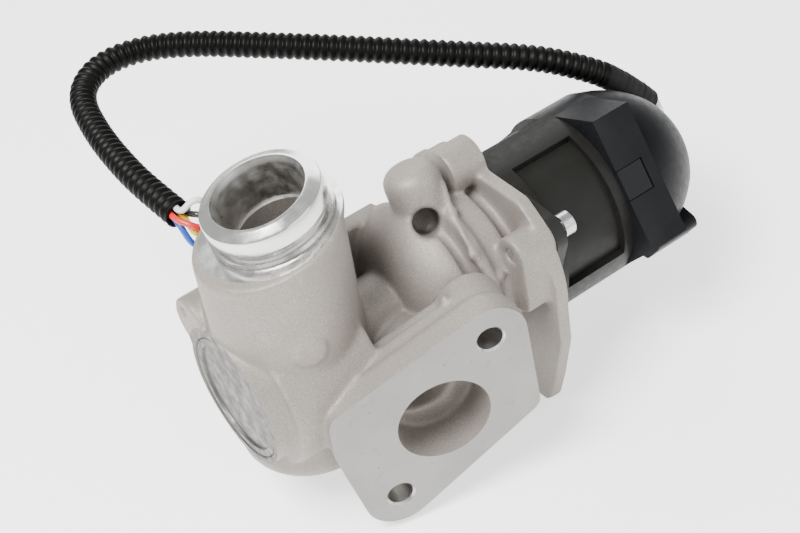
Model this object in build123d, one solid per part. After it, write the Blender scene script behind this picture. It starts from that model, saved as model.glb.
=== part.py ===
from build123d import *
import os
from math import acos, cos, pi, radians, sin, tan

# Electric exhaust gas recirculation valve: a cast aluminium valve body that carries a
# poppet valve, and a geared DC actuator with a position sensor bolted to its end.
# Everything is drawn about the valve axis (X, the motor at +X, Z up) and moved at the end so
# that the origin is the centre of the gas port on the mounting flange. Sizes are in mm.

os.makedirs("parts", exist_ok=True)

# ------------------------------------------------------------------ fits and clearances
seat_gap = 0.02          # pressed or seated pieces, radial
running_gap = 0.05       # shafts, stems and slides in their bores, radial

# ------------------------------------------------------------------ mounting flange
port_x, port_y, port_z = 18.0, -44.0, -14.4   # port centre from the valve axis datum
flange_yaw = 16.5        # flange normal, degrees from -Y toward -X
flange_thick = 9.0
port_r = 16.5
port_depth = 16.0
flange_bolt_r = 4.5
flange_bolt_u = 19.2     # bolt holes at plus and minus this along the flange
flange_bolt_v = 27.9     # and plus and minus this up it
flange_corner_r = 12.8
strap_depth = 22.0       # wall that ties the flange to the tower
flange_left = 38.5       # reach of the two side corners from the port centre
flange_right = 34.0
duct_r = 21.0            # outer radius of the cast duct behind the flange

# ------------------------------------------------------------------ outlet spigot
spigot_lean = 12.5       # degrees from Z, in the plane of the flange
spigot_x, spigot_y, spigot_z = -6.7, 3.75, 68.3   # centre of its outer top edge
spigot_bore_r = 15.0
spigot_lip_r = 16.0
collar_r = 20.6
collar_h = 6.6
groove_r = 18.4
groove_h = 2.6
bead_r = 21.2
lip_rise = 1.6
shoulder_depth = 11.5    # machined shoulder below the collar's top edge
bore_depth = 30.0

# ------------------------------------------------------------------ valve body
tower_x, tower_y = -8.5, 1.0
tower_r = 25.0
tower_wall = 5.0
tower_low = -37.0
tower_edge_r = 9.0
barrel_r, barrel_y, barrel_z = 26.0, -3.5, -1.5   # chamber bulge across the tower
plug_face_x = -34.2
plug_r = 22.7
plug_boss_r = plug_r + 2.2
plug_depth = 4.0
plug_rim = 2.9
plug_dish = 0.8
chamber_r = 20.0
neck_r = 13.5            # casting round the stem guide
hub_start_x = 29.0
hub_r = 32.0
hub_end_x = 62.0
waist_r = 25.0
groove_start_x, groove_end_x = 46.0, 53.0
groove_floor_r = 25.5
rib_end_x = 56.5
rib_r, face_r = 31.5, 29.4

# ------------------------------------------------------------------ actuator mounting plate
plate_x = 72.0
mount_x = 76.5           # joint face between body and actuator
plate_r = 40.0
plate_top = 33.5
leg_low = -57.0
can_r = 32.4             # actuator can that the plate carries
screw_ring_r = can_r + 2.9
screw_angle = -55.4      # first screw, degrees from Z toward +Y
screw_count = 3
screw_boss_r = 6.8
screw_r = 2.5
screw_head_r = 4.25
screw_head_h = 4.5
pilot_r = 22.0           # register between actuator and body
pilot_depth = 3.5
gasket_r, gasket_w, gasket_depth = 25.0, 2.0, 1.2
lobe_y, lobe_z, lobe_r = 7.5, 34.3, 8.6

# ------------------------------------------------------------------ valve train
seat_x, seat_thick, seat_r, seat_bore_r = -4.0, 4.0, 16.0, 11.5
head_r, head_thick = 12.7, 3.0
stem_r = 3.0
stem_end_x = 74.0
bush_start_x, bush_end_x, bush_r = 19.0, 45.0, 6.0
stem_seal_r = 8.0
spring_pocket_x = 50.0
spring_pocket_r = 16.5
spring_r, spring_wire_r, spring_turns = 12.0, 1.0, 5
retainer_x, retainer_r, retainer_thick = 69.5, 14.5, 1.6
clip_r = 5.0

# ------------------------------------------------------------------ drive screw and gears
nut_r, nut_length, nut_end_wall = 7.0, 17.5, 4.5
key_width, key_reach = 3.0, 8.8
guide_r, guide_length = 10.5, 12.5
thread_r = 4.0
gear_module = 0.8
sun_teeth, planet_teeth, ring_teeth = 12, 18, 48
planet_count = 3
gear_width = 4.3
gear_backlash = 0.12
pressure_angle = 20.0
planet_pin_r = 1.5
carrier_r, carrier_thick = 15.5, 2.0
carrier_hub_r = 8.0

# ------------------------------------------------------------------ actuator housing
can_wall = 4.2
can_bore_r = can_r - can_wall
front_wall = 3.5
front_bore_r = can_bore_r - 2.2
ear_r, ear_length = 7.5, 7.0
panel_depth, panel_half_angle = 2.6, 45.5
stack_x = 93.0           # shoulder in the can that the gear stage stacks against
gear_plate_thick = 3.0
ring_gear_width = 8.0
bulkhead_thick = 3.0
can_end_x = 131.0
collar_x = can_end_x - 17.5   # front edge of the cap's skirt
panel_end_x = collar_x - 4
seal_x, seal_width = collar_x + 11, 2.4

# ------------------------------------------------------------------ motor
shaft_r = 2.5
core_length = 14.0
core_end_x = can_end_x - 6
core_start_x = core_end_x - core_length
air_gap = 0.7
magnet_thick = 5.0
flux_wall = 2.9
core_r = can_bore_r - 0.1 - flux_wall - magnet_thick - air_gap
magnet_count, magnet_span = 4, 74.0
core_slots = 9
commutator_r, commutator_length = 7.0, 5.5
commutator_x = can_end_x - 2.5
brush_width, brush_length, brush_reach = 5.0, 4.0, 14.0

# ------------------------------------------------------------------ end cap
skirt_wall = 1.8
cap_wall = 2.3
dome_length = 28.6
dome_end_x = can_end_x + dome_length
block_face, block_half = can_r + 1.8, 25.0   # clip block: its flat and half its width
block_end_x = can_end_x - 1.5
tab_size, tab_depth = 11.0, 2.0
lug_angle, lug_width, lug_end_x = -126.0, 14.0, can_end_x + 15
rear_bush_x, rear_bush_r = can_end_x + 7, 5.5
board_x, board_r, board_thick = can_end_x + 18, 14.0, 1.6
gland_y, gland_z, gland_r, gland_end_x = 11.0, -7.0, 5.0, can_end_x + 32.5

# ------------------------------------------------------------------ harness and its connector
conduit_r = 5.0
conduit_bore_r = 3.7
wire_r = 1.1
wire_names = ("white", "black", "red", "yellow", "blue")
bracket_thick = 1.5
bracket_screw_z = 16.0
connector_x, connector_y, connector_z = -4.0, 29.0, 23.0   # its low corner
connector_l, connector_w, connector_h = 18.0, 10.0, 24.0
shroud_l, shroud_wall = 12.0, 1.5
wire_pitch = 4.5
pin_length, pin_r = 6.0, 0.6
conduit_route = [
    (-20.3, 39.1, 48), (-21.2, 54.7, 48.5), (-21.3, 71.6, 49), (-18.7, 98.1, 49),
    (-12.3, 124.5, 49), (1.7, 135.1, 50), (19.3, 133.3, 50), (35.2, 118.6, 51),
    (51.5, 98.7, 51), (69.4, 79, 50), (88.1, 61.6, 47), (107.6, 45.7, 43),
    (125.9, 34.1, 38), (140.1, 26, 31), (156, 19.7, 19), (167.8, 17.7, 4)]

# ------------------------------------------------------------------ planes and directions
yaw = radians(flange_yaw)
lean = radians(spigot_lean)
flange_out = Vector(-sin(yaw), -cos(yaw), 0)
flange_across = Vector(cos(yaw), -sin(yaw), 0)
spigot_up = flange_across * -sin(lean) + Vector(0, 0, cos(lean))
spigot_side = flange_across * cos(lean) + Vector(0, 0, sin(lean))

# local x, y of valve_axis are the model's Y and Z, and its local z runs along X
valve_axis = Plane(origin=(0, 0, 0), x_dir=(0, 1, 0), z_dir=(1, 0, 0))
port_face = Plane(origin=(port_x, port_y, port_z), x_dir=flange_across, z_dir=flange_out)
spigot_top = Plane(origin=(spigot_x, spigot_y, spigot_z), x_dir=spigot_side, z_dir=spigot_up)
to_port = Location((-port_x, -port_y, -port_z))

on_base = (Align.CENTER, Align.CENTER, Align.MIN)
nodes = {}


def rod(plane, radius, start, end, x=0.0, y=0.0):
    """A cylinder along the plane's normal, from start to end."""
    return plane.offset(start) * Pos(x, y) * Cylinder(radius, end - start, align=on_base)


def tube(plane, outer, inner, start, end, x=0.0, y=0.0):
    return rod(plane, outer, start, end, x, y) - rod(plane, inner, start - 1, end + 1, x, y)


def prism(plane, sketch, start, end):
    return extrude(plane.offset(start) * sketch, amount=end - start)


def lathe(plane, *points):
    """A solid of revolution about the plane's normal, from (radius, height) points."""
    outline = Polyline(*[(radius, 0, height) for radius, height in points], close=True)
    return plane.location * revolve(make_face(outline), Axis.Z)


def hull(*circles):
    """The face round a set of (x, y, radius) circles."""
    return make_hull([edge for x, y, r in circles for edge in (Pos(x, y) * Circle(r)).edges()])


def around(radius, degrees_from_z):
    """Y and Z of a point at this radius and angle about the valve axis."""
    angle = radians(degrees_from_z)
    return radius * sin(angle), radius * cos(angle)


def add(node, *solids):
    nodes[node] = [solid for shape in solids for solid in shape.solids()]


bracket_y = connector_y - bracket_thick
screw_points = [around(screw_ring_r, screw_angle + i * 360 / screw_count) for i in range(screw_count)]


# ------------------------------------------------------------------ valve body casting
def flange_outline():
    bolt_a = (flange_bolt_u, flange_bolt_v, flange_corner_r)
    bolt_b = (-flange_bolt_u, -flange_bolt_v, flange_corner_r)
    left = (-flange_left + 6, 12.5, 6)
    left_low = (-flange_left + 6, 0, 6)
    right = (flange_right - 5, -6, 5)
    return hull(bolt_a, bolt_b, right, left_low) + hull(bolt_a, bolt_b, left, left_low)


def bell():
    """Hub that swells out of the stem neck, with a groove round it and a waist behind the plate."""
    start = (neck_r - 2, hub_start_x)
    swell = ThreePointArc((start[0], 0, start[1]), (25, 0, 34), (hub_r, 0, 44))
    rest = Polyline(
        (hub_r, 0, 44), (hub_r, 0, groove_start_x), (groove_floor_r, 0, groove_start_x + 1),
        (groove_floor_r, 0, groove_end_x - 1), (rib_r, 0, groove_end_x), (rib_r, 0, rib_end_x),
        (face_r, 0, rib_end_x + 1), (face_r, 0, hub_end_x + 4),
        (waist_r, 0, hub_end_x + 6), (waist_r, 0, mount_x),
        (0, 0, mount_x), (0, 0, hub_start_x), (start[0], 0, start[1]))
    return valve_axis.location * revolve(make_face(swell + rest), Axis.Z)


def plate_outline():
    disc = Circle(plate_r)
    cut_top = Pos(0, plate_top + 20) * Rectangle(120, 40)
    ears = Sketch() + [hull((0, 0, waist_r), (y, z, screw_boss_r + 1.5)) for y, z in screw_points[1:]]
    back_cut = Pos(47, 0) * Rectangle(20, 120)
    leg = make_face(Polyline(
        (-plate_r + 0.5, 2), (-plate_r, -20), (-35, -41), (-31, leg_low + 3), (-28, leg_low),
        (-16, leg_low), (-12, -36), (0, -20), (0, 2), close=True))
    corner = hull((0, 0, waist_r), (-21.5, 30.5, 3), (screw_points[0][0], screw_points[0][1], screw_boss_r))
    return (disc - cut_top - back_cut) + ears + leg + corner + Pos(lobe_y, lobe_z) * Circle(lobe_r)


def casting():
    top_cut = spigot_top.offset(-shoulder_depth) * Box(160, 160, 80, align=on_base)
    tower = Pos(tower_x, tower_y, tower_low) * Cylinder(tower_r, 100, align=on_base)
    tower = fillet(tower.edges().sort_by(Axis.Z)[:1], tower_edge_r) - top_cut
    body = tower + rod(valve_axis, plug_boss_r, plug_face_x, tower_x)
    body += rod(valve_axis, neck_r, 0, hub_start_x + 8)
    body += bell()
    body += rod(port_face, duct_r, -46, -flange_thick + 1)
    body += prism(port_face, flange_outline(), -flange_thick, 0)
    for u, v in ((flange_bolt_u, flange_bolt_v), (-flange_bolt_u, -flange_bolt_v)):
        body += rod(port_face, flange_corner_r - 1.5, -22, -flange_thick + 1, u, v)
    body += prism(valve_axis, plate_outline(), plate_x, mount_x)
    for y, z in screw_points:
        body += rod(valve_axis, screw_boss_r, hub_end_x, plate_x + 1, y, z)
    first_y, first_z = screw_points[0]
    capsule = hull((first_y, first_z, screw_boss_r), (first_y - 3, first_z - 18, 5))
    body += prism(valve_axis, capsule, hub_end_x, plate_x + 1)
    body += rod(valve_axis, lobe_r, hub_end_x + 1, plate_x + 1, lobe_y, lobe_z)
    body += rod(valve_axis, barrel_r, -27, 8, barrel_y, barrel_z)
    for inset, start, end in ((1.5, -16, -flange_thick), (5, -strap_depth, -16)):
        strap = hull(
            (-flange_left + 6, 12.5, 6 - inset * 0.6), (-flange_left + 12, -4, 6), (6, -6, 15),
            (flange_bolt_u, flange_bolt_v, flange_corner_r - inset))
        body += prism(port_face, strap, start, end)
    return body


def column():
    """Leaning boss on the hub, with a pad on top and a drilled hole that breaks out below."""
    lean_plane = Plane(origin=(50.5, 8.5, 44), x_dir=(1, 0, 0), z_dir=(-0.08, 0.28, 0.96))
    boss = rod(lean_plane, 10, -62, 0)
    return fillet(boss.edges().sort_by(Axis.Z)[-1:], 5) + rod(lean_plane, 4.4, -6, 0.3)


def machined():
    """Every machined and cored space of the body."""
    cuts = rod(spigot_top, spigot_bore_r, -bore_depth, 3)
    cuts += lathe(spigot_top, (0, 0), (spigot_lip_r + 2, 4), (spigot_bore_r, -1.5), (0, -1.5))
    inner_r = tower_r - tower_wall
    core = Pos(tower_x, tower_y, -18) * Cylinder(inner_r, 64, align=on_base)
    core -= Pos(seat_x, 0, -30) * Box(60, 80, 48, align=(Align.MIN, Align.CENTER, Align.MIN))
    core -= spigot_top.offset(-bore_depth + 4) * Box(120, 120, 60, align=on_base)
    cuts += core + rod(valve_axis, chamber_r, plug_face_x - 1, seat_x)
    cuts += rod(valve_axis, plug_r + seat_gap, plug_face_x - 1, plug_face_x + plug_depth)
    cuts += rod(valve_axis, seat_r + seat_gap, seat_x - 1, seat_x + seat_thick)
    cuts += rod(valve_axis, seat_bore_r + 1, seat_x + 1, 15)
    cuts += rod(port_face, port_r, -port_depth, 2)
    inlet = Plane(origin=(20.5, -33, -13), z_dir=(-0.3, 0.93, 0.2))
    cuts += rod(inlet, 10.5, -2, 30)
    cuts += rod(valve_axis, bush_r + seat_gap, bush_start_x - 10, bush_end_x + 1)
    cuts += rod(valve_axis, stem_seal_r + seat_gap, bush_end_x, spring_pocket_x + 1)
    cuts += rod(valve_axis, spring_pocket_r, spring_pocket_x, mount_x + 2)
    cuts += rod(valve_axis, pilot_r + running_gap, mount_x - pilot_depth - 0.5, mount_x + 2)
    cuts += tube(valve_axis, gasket_r + gasket_w, gasket_r, mount_x - gasket_depth, mount_x + 2)
    for u, v in ((flange_bolt_u, flange_bolt_v), (-flange_bolt_u, -flange_bolt_v)):
        cuts += rod(port_face, flange_bolt_r, -30, 2, u, v)
    for y, z in screw_points:
        cuts += rod(valve_axis, screw_r + seat_gap, hub_end_x - 2, mount_x + 2, y, z)
    drill = Plane(origin=(47.8, -3.3, 28.6), z_dir=(-0.35, -0.7, 0.55))
    cuts += rod(drill, 4.9, -12, 20)
    chute = Plane(origin=(49.6, -6.5, 21), z_dir=(-0.3, -0.95, 0.1))
    cuts += loft_cut(drill, chute)
    return cuts


def loft_cut(drill, chute):
    """Tapered groove that runs down from the drilled hole."""
    top, low = drill.offset(2) * Circle(4.4), chute.offset(-2) * Circle(1.6)
    return loft([top, low])


def spigot():
    neck = collar_h + groove_h
    return lathe(
        spigot_top, (0, -shoulder_depth - 14), (bead_r - 1.2, -shoulder_depth - 14),
        (bead_r - 1.2, -shoulder_depth), (bead_r, -shoulder_depth + 0.8), (bead_r, -neck),
        (groove_r, -neck + 0.4), (groove_r, -collar_h), (collar_r, -collar_h), (collar_r, 0),
        (spigot_lip_r + 1.2, lip_rise), (0, lip_rise))


def rear_features():
    """Web behind the stem neck, bracket boss behind the tower and the ear beside the plug."""
    web = Pos(25, 23, 2) * Box(40, 7, 40)
    boss = Plane(origin=(tower_x, 0, bracket_screw_z), z_dir=(0, 1, 0))
    ear = rod(valve_axis, 10, -34, -17, 20.5, 19)
    return web + rod(boss, 7, 5, bracket_y) + ear


def valve_housing():
    holes = rod(valve_axis, 1.6, -38, -26, 24, 23)
    boss = Plane(origin=(tower_x, 0, bracket_screw_z), z_dir=(0, 1, 0))
    holes += rod(boss, screw_r + seat_gap, connector_y - 6.5, bracket_y + 1)
    return casting() + column() + spigot() + rear_features() - machined() - holes


add("valve_housing", valve_housing())


# ------------------------------------------------------------------ valve train
def poppet_valve():
    seat_line = seat_x + 1.5 + seat_bore_r - 0.07     # radius plus x along the sealing cone
    face_x = seat_line - head_r
    return lathe(
        valve_axis, (0, seat_x - head_thick), (head_r - 0.5, seat_x - head_thick),
        (head_r, seat_x - head_thick + 0.5), (head_r, face_x),
        (seat_bore_r - 0.3, seat_line - seat_bore_r + 0.3),
        (7, seat_x + 2.6), (stem_r + 1, seat_x + 5), (stem_r, seat_x + 8), (stem_r, stem_end_x - 0.5),
        (stem_r - 0.5, stem_end_x), (0, stem_end_x))


def valve_seat():
    rear = seat_x + seat_thick
    return lathe(
        valve_axis, (seat_bore_r + 1.5, seat_x), (seat_r, seat_x), (seat_r, rear), (seat_bore_r, rear),
        (seat_bore_r, seat_x + 1.5))


def core_plug():
    face, floor, back = plug_face_x + 0.3, plug_face_x + 0.3 + plug_dish, plug_face_x + plug_depth
    dish = plug_r - plug_rim
    return lathe(
        valve_axis, (0, floor), (dish - 0.4, floor), (dish, face), (plug_r - 0.4, face),
        (plug_r, face + 0.4), (plug_r, back), (plug_r - 1.2, back), (plug_r - 1.2, floor + 1.2),
        (0, floor + 1.2))


def return_spring():
    """Coil spring, its helix drawn as short straight runs of wire."""
    start = spring_pocket_x + spring_wire_r
    length = retainer_x - spring_wire_r - start
    steps = spring_turns * 14
    points = []
    for i in range(steps + 1):
        angle = 2 * pi * spring_turns * i / steps
        points.append((spring_r * cos(angle), spring_r * sin(angle), start + length * i / steps))
    path = Polyline(*points)
    profile = Plane(origin=path @ 0, z_dir=path % 0) * RegularPolygon(spring_wire_r, 8)
    return valve_axis.location * sweep(profile, path, transition=Transition.RIGHT)


add("core_plug", core_plug())
add("valve_seat", valve_seat())
add("poppet_valve", poppet_valve())
add("stem_bush", tube(valve_axis, bush_r, stem_r + running_gap, bush_start_x, bush_end_x))
add("stem_seal", tube(valve_axis, stem_seal_r, stem_r + running_gap, bush_end_x, spring_pocket_x))
add("return_spring", return_spring())
add("spring_retainer", lathe(
    valve_axis, (stem_r + seat_gap, retainer_x), (spring_r - 2.2, retainer_x),
    (spring_r - 1.6, retainer_x - 1.2),
    (spring_r - 1.2, retainer_x), (retainer_r, retainer_x), (retainer_r, retainer_x + retainer_thick),
    (stem_r + seat_gap, retainer_x + retainer_thick)))
add("retainer_clip", tube(
    valve_axis, clip_r, stem_r + seat_gap, retainer_x + retainer_thick, retainer_x + retainer_thick + 1.4))


# ------------------------------------------------------------------ drive screw
def key_slots(width, reach, start, end):
    return prism(valve_axis, Rectangle(2 * reach, width), start, end)


def drive_nut():
    start, end = stem_end_x, stem_end_x + nut_length
    body = rod(valve_axis, nut_r, start, end)
    body += key_slots(key_width - 2 * running_gap, key_reach, end - 11, end - 0.5)
    return body - rod(valve_axis, thread_r + running_gap, start + nut_end_wall, end + 1)


def guide_bush():
    start = mount_x - pilot_depth + 0.5
    body = rod(valve_axis, guide_r, start, start + guide_length)
    body += rod(valve_axis, guide_r + 3.5, mount_x + front_wall, mount_x + front_wall + 2)
    body -= rod(valve_axis, nut_r + running_gap, start - 1, start + guide_length + 1)
    return body - key_slots(key_width, key_reach + 0.2, start - 1, start + guide_length + 1)


# ------------------------------------------------------------------ gears
def involute(angle):
    return tan(angle) - angle


def gear_outline(teeth, addendum, dedendum, backlash):
    """Face of a spur gear with involute flanks, a tooth centred on the local x axis."""
    pitch = gear_module * teeth / 2
    base = pitch * cos(radians(pressure_angle))
    half = pi / (2 * teeth) - backlash / (2 * pitch) + involute(radians(pressure_angle))
    low, high = max(base, pitch - dedendum), pitch + addendum
    flank = []
    for i in range(4):
        r = low + (high - low) * i / 3
        flank.append((r, half - involute(acos(min(1, base / r)))))
    if pitch - dedendum < low:
        flank.insert(0, (pitch - dedendum, flank[0][1]))
    points = []
    for tooth in range(teeth):
        middle = 2 * pi * tooth / teeth
        sides = [(r, middle - a) for r, a in flank] + [(r, middle + a) for r, a in reversed(flank)]
        points += [(r * cos(a), r * sin(a)) for r, a in sides]
    return make_face(Polyline(*points, close=True))


gear_plate_end = stack_x + gear_plate_thick
bulkhead_x = gear_plate_end + ring_gear_width
bulkhead_end = bulkhead_x + bulkhead_thick
stack_r = can_bore_r - 0.1
orbit_r = gear_module * (sun_teeth + planet_teeth) / 2
planet_x = gear_plate_end + carrier_thick + 0.9
planet_angles = [i * 360 / planet_count for i in range(planet_count)]
planet_pitch = 360 / planet_teeth


def at_orbit(angle):
    return Rot(0, 0, angle) * Pos(orbit_r, 0)


def planet_gear(angle):
    face = gear_outline(planet_teeth, 0.9 * gear_module, 1.15 * gear_module, gear_backlash)
    face -= Circle(planet_pin_r + running_gap)
    placed = at_orbit(angle) * Rot(0, 0, planet_pitch / 2) * face
    return prism(valve_axis, placed, planet_x, planet_x + gear_width)


def planet_carrier():
    screw_start = stem_end_x + nut_end_wall + 1.5
    body = rod(valve_axis, thread_r, screw_start, stack_x)
    body += rod(valve_axis, carrier_hub_r, stack_x - 0.7, gear_plate_end + 1)
    disc_x = gear_plate_end + 0.3
    body += rod(valve_axis, carrier_r, disc_x, disc_x + carrier_thick)
    for angle in planet_angles:
        pin = at_orbit(angle) * Circle(planet_pin_r)
        body += prism(valve_axis, pin, disc_x + carrier_thick - 0.5, planet_x + gear_width + 0.2)
    return body


def ring_gear():
    space = gear_outline(ring_teeth, 1.15 * gear_module, 0.9 * gear_module, -gear_backlash)
    face = Circle(stack_r) - Rot(0, 0, 180 / ring_teeth) * space
    return prism(valve_axis, face, gear_plate_end, bulkhead_x)


add("drive_nut", drive_nut())
add("guide_bush", guide_bush())
add("planet_carrier", planet_carrier())
for number, angle in enumerate(planet_angles, 1):
    add(f"planet_gear_{number}", planet_gear(angle))
add("ring_gear", ring_gear())
add("gear_plate", tube(valve_axis, stack_r, carrier_hub_r + 2.5, stack_x, gear_plate_end))
add("carrier_bush", tube(
    valve_axis, carrier_hub_r + 2.5, carrier_hub_r + running_gap, stack_x, gear_plate_end))


# ------------------------------------------------------------------ motor
def slot_shape(shrink):
    """One winding slot of the armature, reaching out along the local x axis."""
    half = radians(180 / core_slots) * 0.62
    inner, outer = 8.0 + shrink, core_r - 2.2 - shrink
    return make_face(Polyline(
        (inner, -inner * half + shrink), (outer, -outer * half + shrink),
        (outer, outer * half - shrink), (inner, inner * half - shrink), close=True))


def armature_core():
    face = Circle(core_r) - Circle(shaft_r + seat_gap)
    for i in range(core_slots):
        turn = Rot(0, 0, i * 360 / core_slots)
        face -= turn * slot_shape(0)
        face -= turn * Pos(core_r, 0) * Rectangle(6, 1.6)
    return prism(valve_axis, face, core_start_x, core_end_x)


def armature_windings():
    bars = Sketch() + [Rot(0, 0, i * 360 / core_slots) * slot_shape(0.15) for i in range(core_slots)]
    body = prism(valve_axis, bars, core_start_x - 0.5, core_end_x + 0.5)
    for near, far in ((core_start_x, core_start_x - 2), (core_end_x, core_end_x + 2.5)):
        body += lathe(valve_axis, (7, near), (16.8, near), (16.2, (near + far) / 2), (14.5, far), (7, far))
    return body


def commutator():
    end = commutator_x + commutator_length
    face = Circle(commutator_r) - Circle(shaft_r + seat_gap)
    for i in range(core_slots):
        face -= Rot(0, 0, (i + 0.5) * 360 / core_slots) * Pos(commutator_r, 0) * Rectangle(1.6, 0.4)
    return prism(valve_axis, face, commutator_x, end)


magnet_r = core_r + air_gap
flux_r = magnet_r + magnet_thick


def field_magnets():
    ring = Circle(flux_r) - Circle(magnet_r)
    reach, half = 2 * flux_r, radians(magnet_span / 2)
    wedge = make_face(Polyline(
        (0, 0), (reach * cos(half), -reach * sin(half)), (reach * cos(half), reach * sin(half)), close=True))
    faces = [ring & Rot(0, 0, 45 + i * 360 / magnet_count) * wedge for i in range(magnet_count)]
    return [prism(valve_axis, face, core_start_x - 1, core_end_x + 1) for face in faces]


def brush_holes(width, start, end, inner, outer):
    box = Pos((inner + outer) / 2, 0) * Rectangle(outer - inner, width)
    return [prism(valve_axis, Rot(0, 0, turn) * box, start, end) for turn in (0, 180)]


brush_x = can_end_x - 0.5
brush_end = brush_x + brush_length


def brush_carrier():
    body = tube(valve_axis, stack_r, commutator_r + 1.5, brush_x, brush_end)
    for hole in brush_holes(brush_width + 0.1, brush_x + 0.4, brush_end + 1, 5, brush_reach + 0.1):
        body -= hole
    return body


add("armature_shaft", rod(valve_axis, shaft_r, planet_x - 0.3, rear_bush_x + 7))
sun_face = gear_outline(sun_teeth, 0.9 * gear_module, 1.15 * gear_module, gear_backlash)
add("sun_pinion", prism(valve_axis, sun_face - Circle(shaft_r + seat_gap), planet_x, planet_x + gear_width))
add("armature_core", armature_core())
add("armature_windings", armature_windings())
add("commutator", commutator())
add("sensor_magnet", rod(valve_axis, 4, rear_bush_x + 7, rear_bush_x + 10))
add("field_magnets", *field_magnets())
add("flux_ring", tube(valve_axis, stack_r, flux_r, bulkhead_end, brush_x))
add("motor_bulkhead", tube(valve_axis, stack_r, shaft_r + 2.5, bulkhead_x, bulkhead_end))
add("front_bush", tube(valve_axis, shaft_r + 2.5, shaft_r + running_gap, bulkhead_x, bulkhead_end + 1.8))
add("rear_bush", tube(valve_axis, rear_bush_r, shaft_r + running_gap, rear_bush_x, rear_bush_x + 5))
add("brush_carrier", brush_carrier())
add("carbon_brushes", *brush_holes(brush_width, brush_x + 0.5, brush_end, commutator_r + 0.03, brush_reach))


# ------------------------------------------------------------------ actuator housing
def panels():
    """Recesses that let a driver past the can to each screw head."""
    ring = Circle(can_r + 6) - Circle(can_r - panel_depth)
    reach, half = 3 * can_r, radians(panel_half_angle)
    wedge = make_face(Polyline(
        (0, 0), (-reach * sin(half), reach * cos(half)), (reach * sin(half), reach * cos(half)), close=True))
    spread = [Rot(0, 0, -screw_angle - i * 360 / screw_count) * wedge for i in range(screw_count)]
    ear_end = mount_x + ear_length
    return Part() + [prism(valve_axis, ring & sector, ear_end, panel_end_x) for sector in spread]


def actuator_housing():
    front = mount_x + front_wall
    body = rod(valve_axis, can_r, mount_x, collar_x)
    body += rod(valve_axis, can_r - skirt_wall - 0.1, collar_x, can_end_x)
    body += rod(valve_axis, pilot_r, mount_x - pilot_depth, mount_x + 1)
    for y, z in screw_points:
        body += prism(valve_axis, hull((0, 0, can_r - 3), (y, z, ear_r)), mount_x, front + 1)
        body += rod(valve_axis, ear_r, mount_x, mount_x + ear_length, y, z)
        body -= rod(valve_axis, screw_r + 0.25, mount_x - 1, mount_x + ear_length + 1, y, z)
    body -= panels()
    body -= rod(valve_axis, pilot_r - 5, mount_x - pilot_depth - 1, mount_x)
    body -= rod(valve_axis, guide_r + seat_gap, mount_x - 1, front + 1)
    body -= rod(valve_axis, front_bore_r, front, stack_x)
    body -= rod(valve_axis, can_bore_r, stack_x, can_end_x + 1)
    return body - tube(valve_axis, can_r, can_r - skirt_wall - 1.2, seal_x, seal_x + seal_width)


def cap_seal():
    groove = can_r - skirt_wall - 1.2
    return tube(valve_axis, can_r - skirt_wall - 0.02, groove, seal_x + 0.1, seal_x + seal_width - 0.1)


def mounting_screw(y, z):
    seat = mount_x + ear_length
    shank = rod(valve_axis, screw_r, hub_end_x + 0.8, seat, y, z)
    head = rod(valve_axis, screw_head_r, seat, seat + screw_head_h, y, z)
    socket = prism(valve_axis, Pos(y, z) * RegularPolygon(2.3, 6), seat + 2, seat + screw_head_h + 1)
    return shank + fillet(head.edges().sort_by(Axis.X)[-1:], 0.5) - socket


# ------------------------------------------------------------------ end cap
def dome(shrink):
    """The domed end, its seam turned clear of the gland boss; shrunk by the wall it is the space inside."""
    shoulder = (can_r - 8.7 - shrink, 0, can_end_x + 18.2 - shrink * 0.6)
    middle = (can_r - 2.8 - shrink, 0, can_end_x + 8.2)
    side = ThreePointArc((can_r - shrink, 0, can_end_x - 2), middle, shoulder)
    crown = ThreePointArc(
        shoulder, (shoulder[0] * 0.62, 0, dome_end_x - 2.7 - shrink), (0, 0, dome_end_x - shrink))
    base = Polyline((0, 0, dome_end_x - shrink), (0, 0, can_end_x - 2), (can_r - shrink, 0, can_end_x - 2))
    return valve_axis.location * Rot(0, 0, 150) * revolve(make_face(side + crown + base), Axis.Z)


def clip_block():
    corners = Pos(0, block_face) * Rectangle(2 * block_half, 0.02)
    shape = make_hull(Circle(can_r - 0.4).edges() + corners.edges())
    return [
        prism(valve_axis, Rot(0, 0, -screw_angle + turn) * shape, collar_x, block_end_x) for turn in (0, 180)]


def tab_space(size, height, front):
    flat = Pos(0, block_face - tab_depth + height / 2) * Rectangle(size, height)
    return [
        prism(valve_axis, Rot(0, 0, -screw_angle + turn) * flat, collar_x + front, collar_x + size)
        for turn in (0, 180)]


def end_cap():
    body = rod(valve_axis, can_r, collar_x, can_end_x) + dome(0)
    for block in clip_block():
        body += block
    lug_turn = Rot(0, 0, -lug_angle)
    half = lug_width / 2 - 3
    lug = hull((-half, can_r - 1, 3), (half, can_r - 1, 3), (0, can_r - 10, 3))
    body += prism(valve_axis, lug_turn * lug, can_end_x - 4, lug_end_x)
    body += rod(valve_axis, gland_r + 2.2, board_x, gland_end_x - 2.5, gland_y, gland_z)
    inside = rod(valve_axis, can_r - skirt_wall, collar_x - 1, can_end_x) + dome(cap_wall)
    body -= inside & rod(valve_axis, can_r - skirt_wall, collar_x - 1, dome_end_x)
    for space in tab_space(tab_size + 0.6, tab_depth + 1, 0):
        body -= space
    ribs = tube(valve_axis, rear_bush_r + 3, rear_bush_r, rear_bush_x, board_x)
    for i in range(3):
        arm = Rot(0, 0, 90 + i * 120) * Pos(17, 0) * Rectangle(22, 2)
        ribs += prism(valve_axis, arm, rear_bush_x, rear_bush_x + 6) & dome(cap_wall - 0.5)
    body += ribs
    return body - rod(valve_axis, gland_r, board_x - 1, gland_end_x + 1, gland_y, gland_z)


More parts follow.
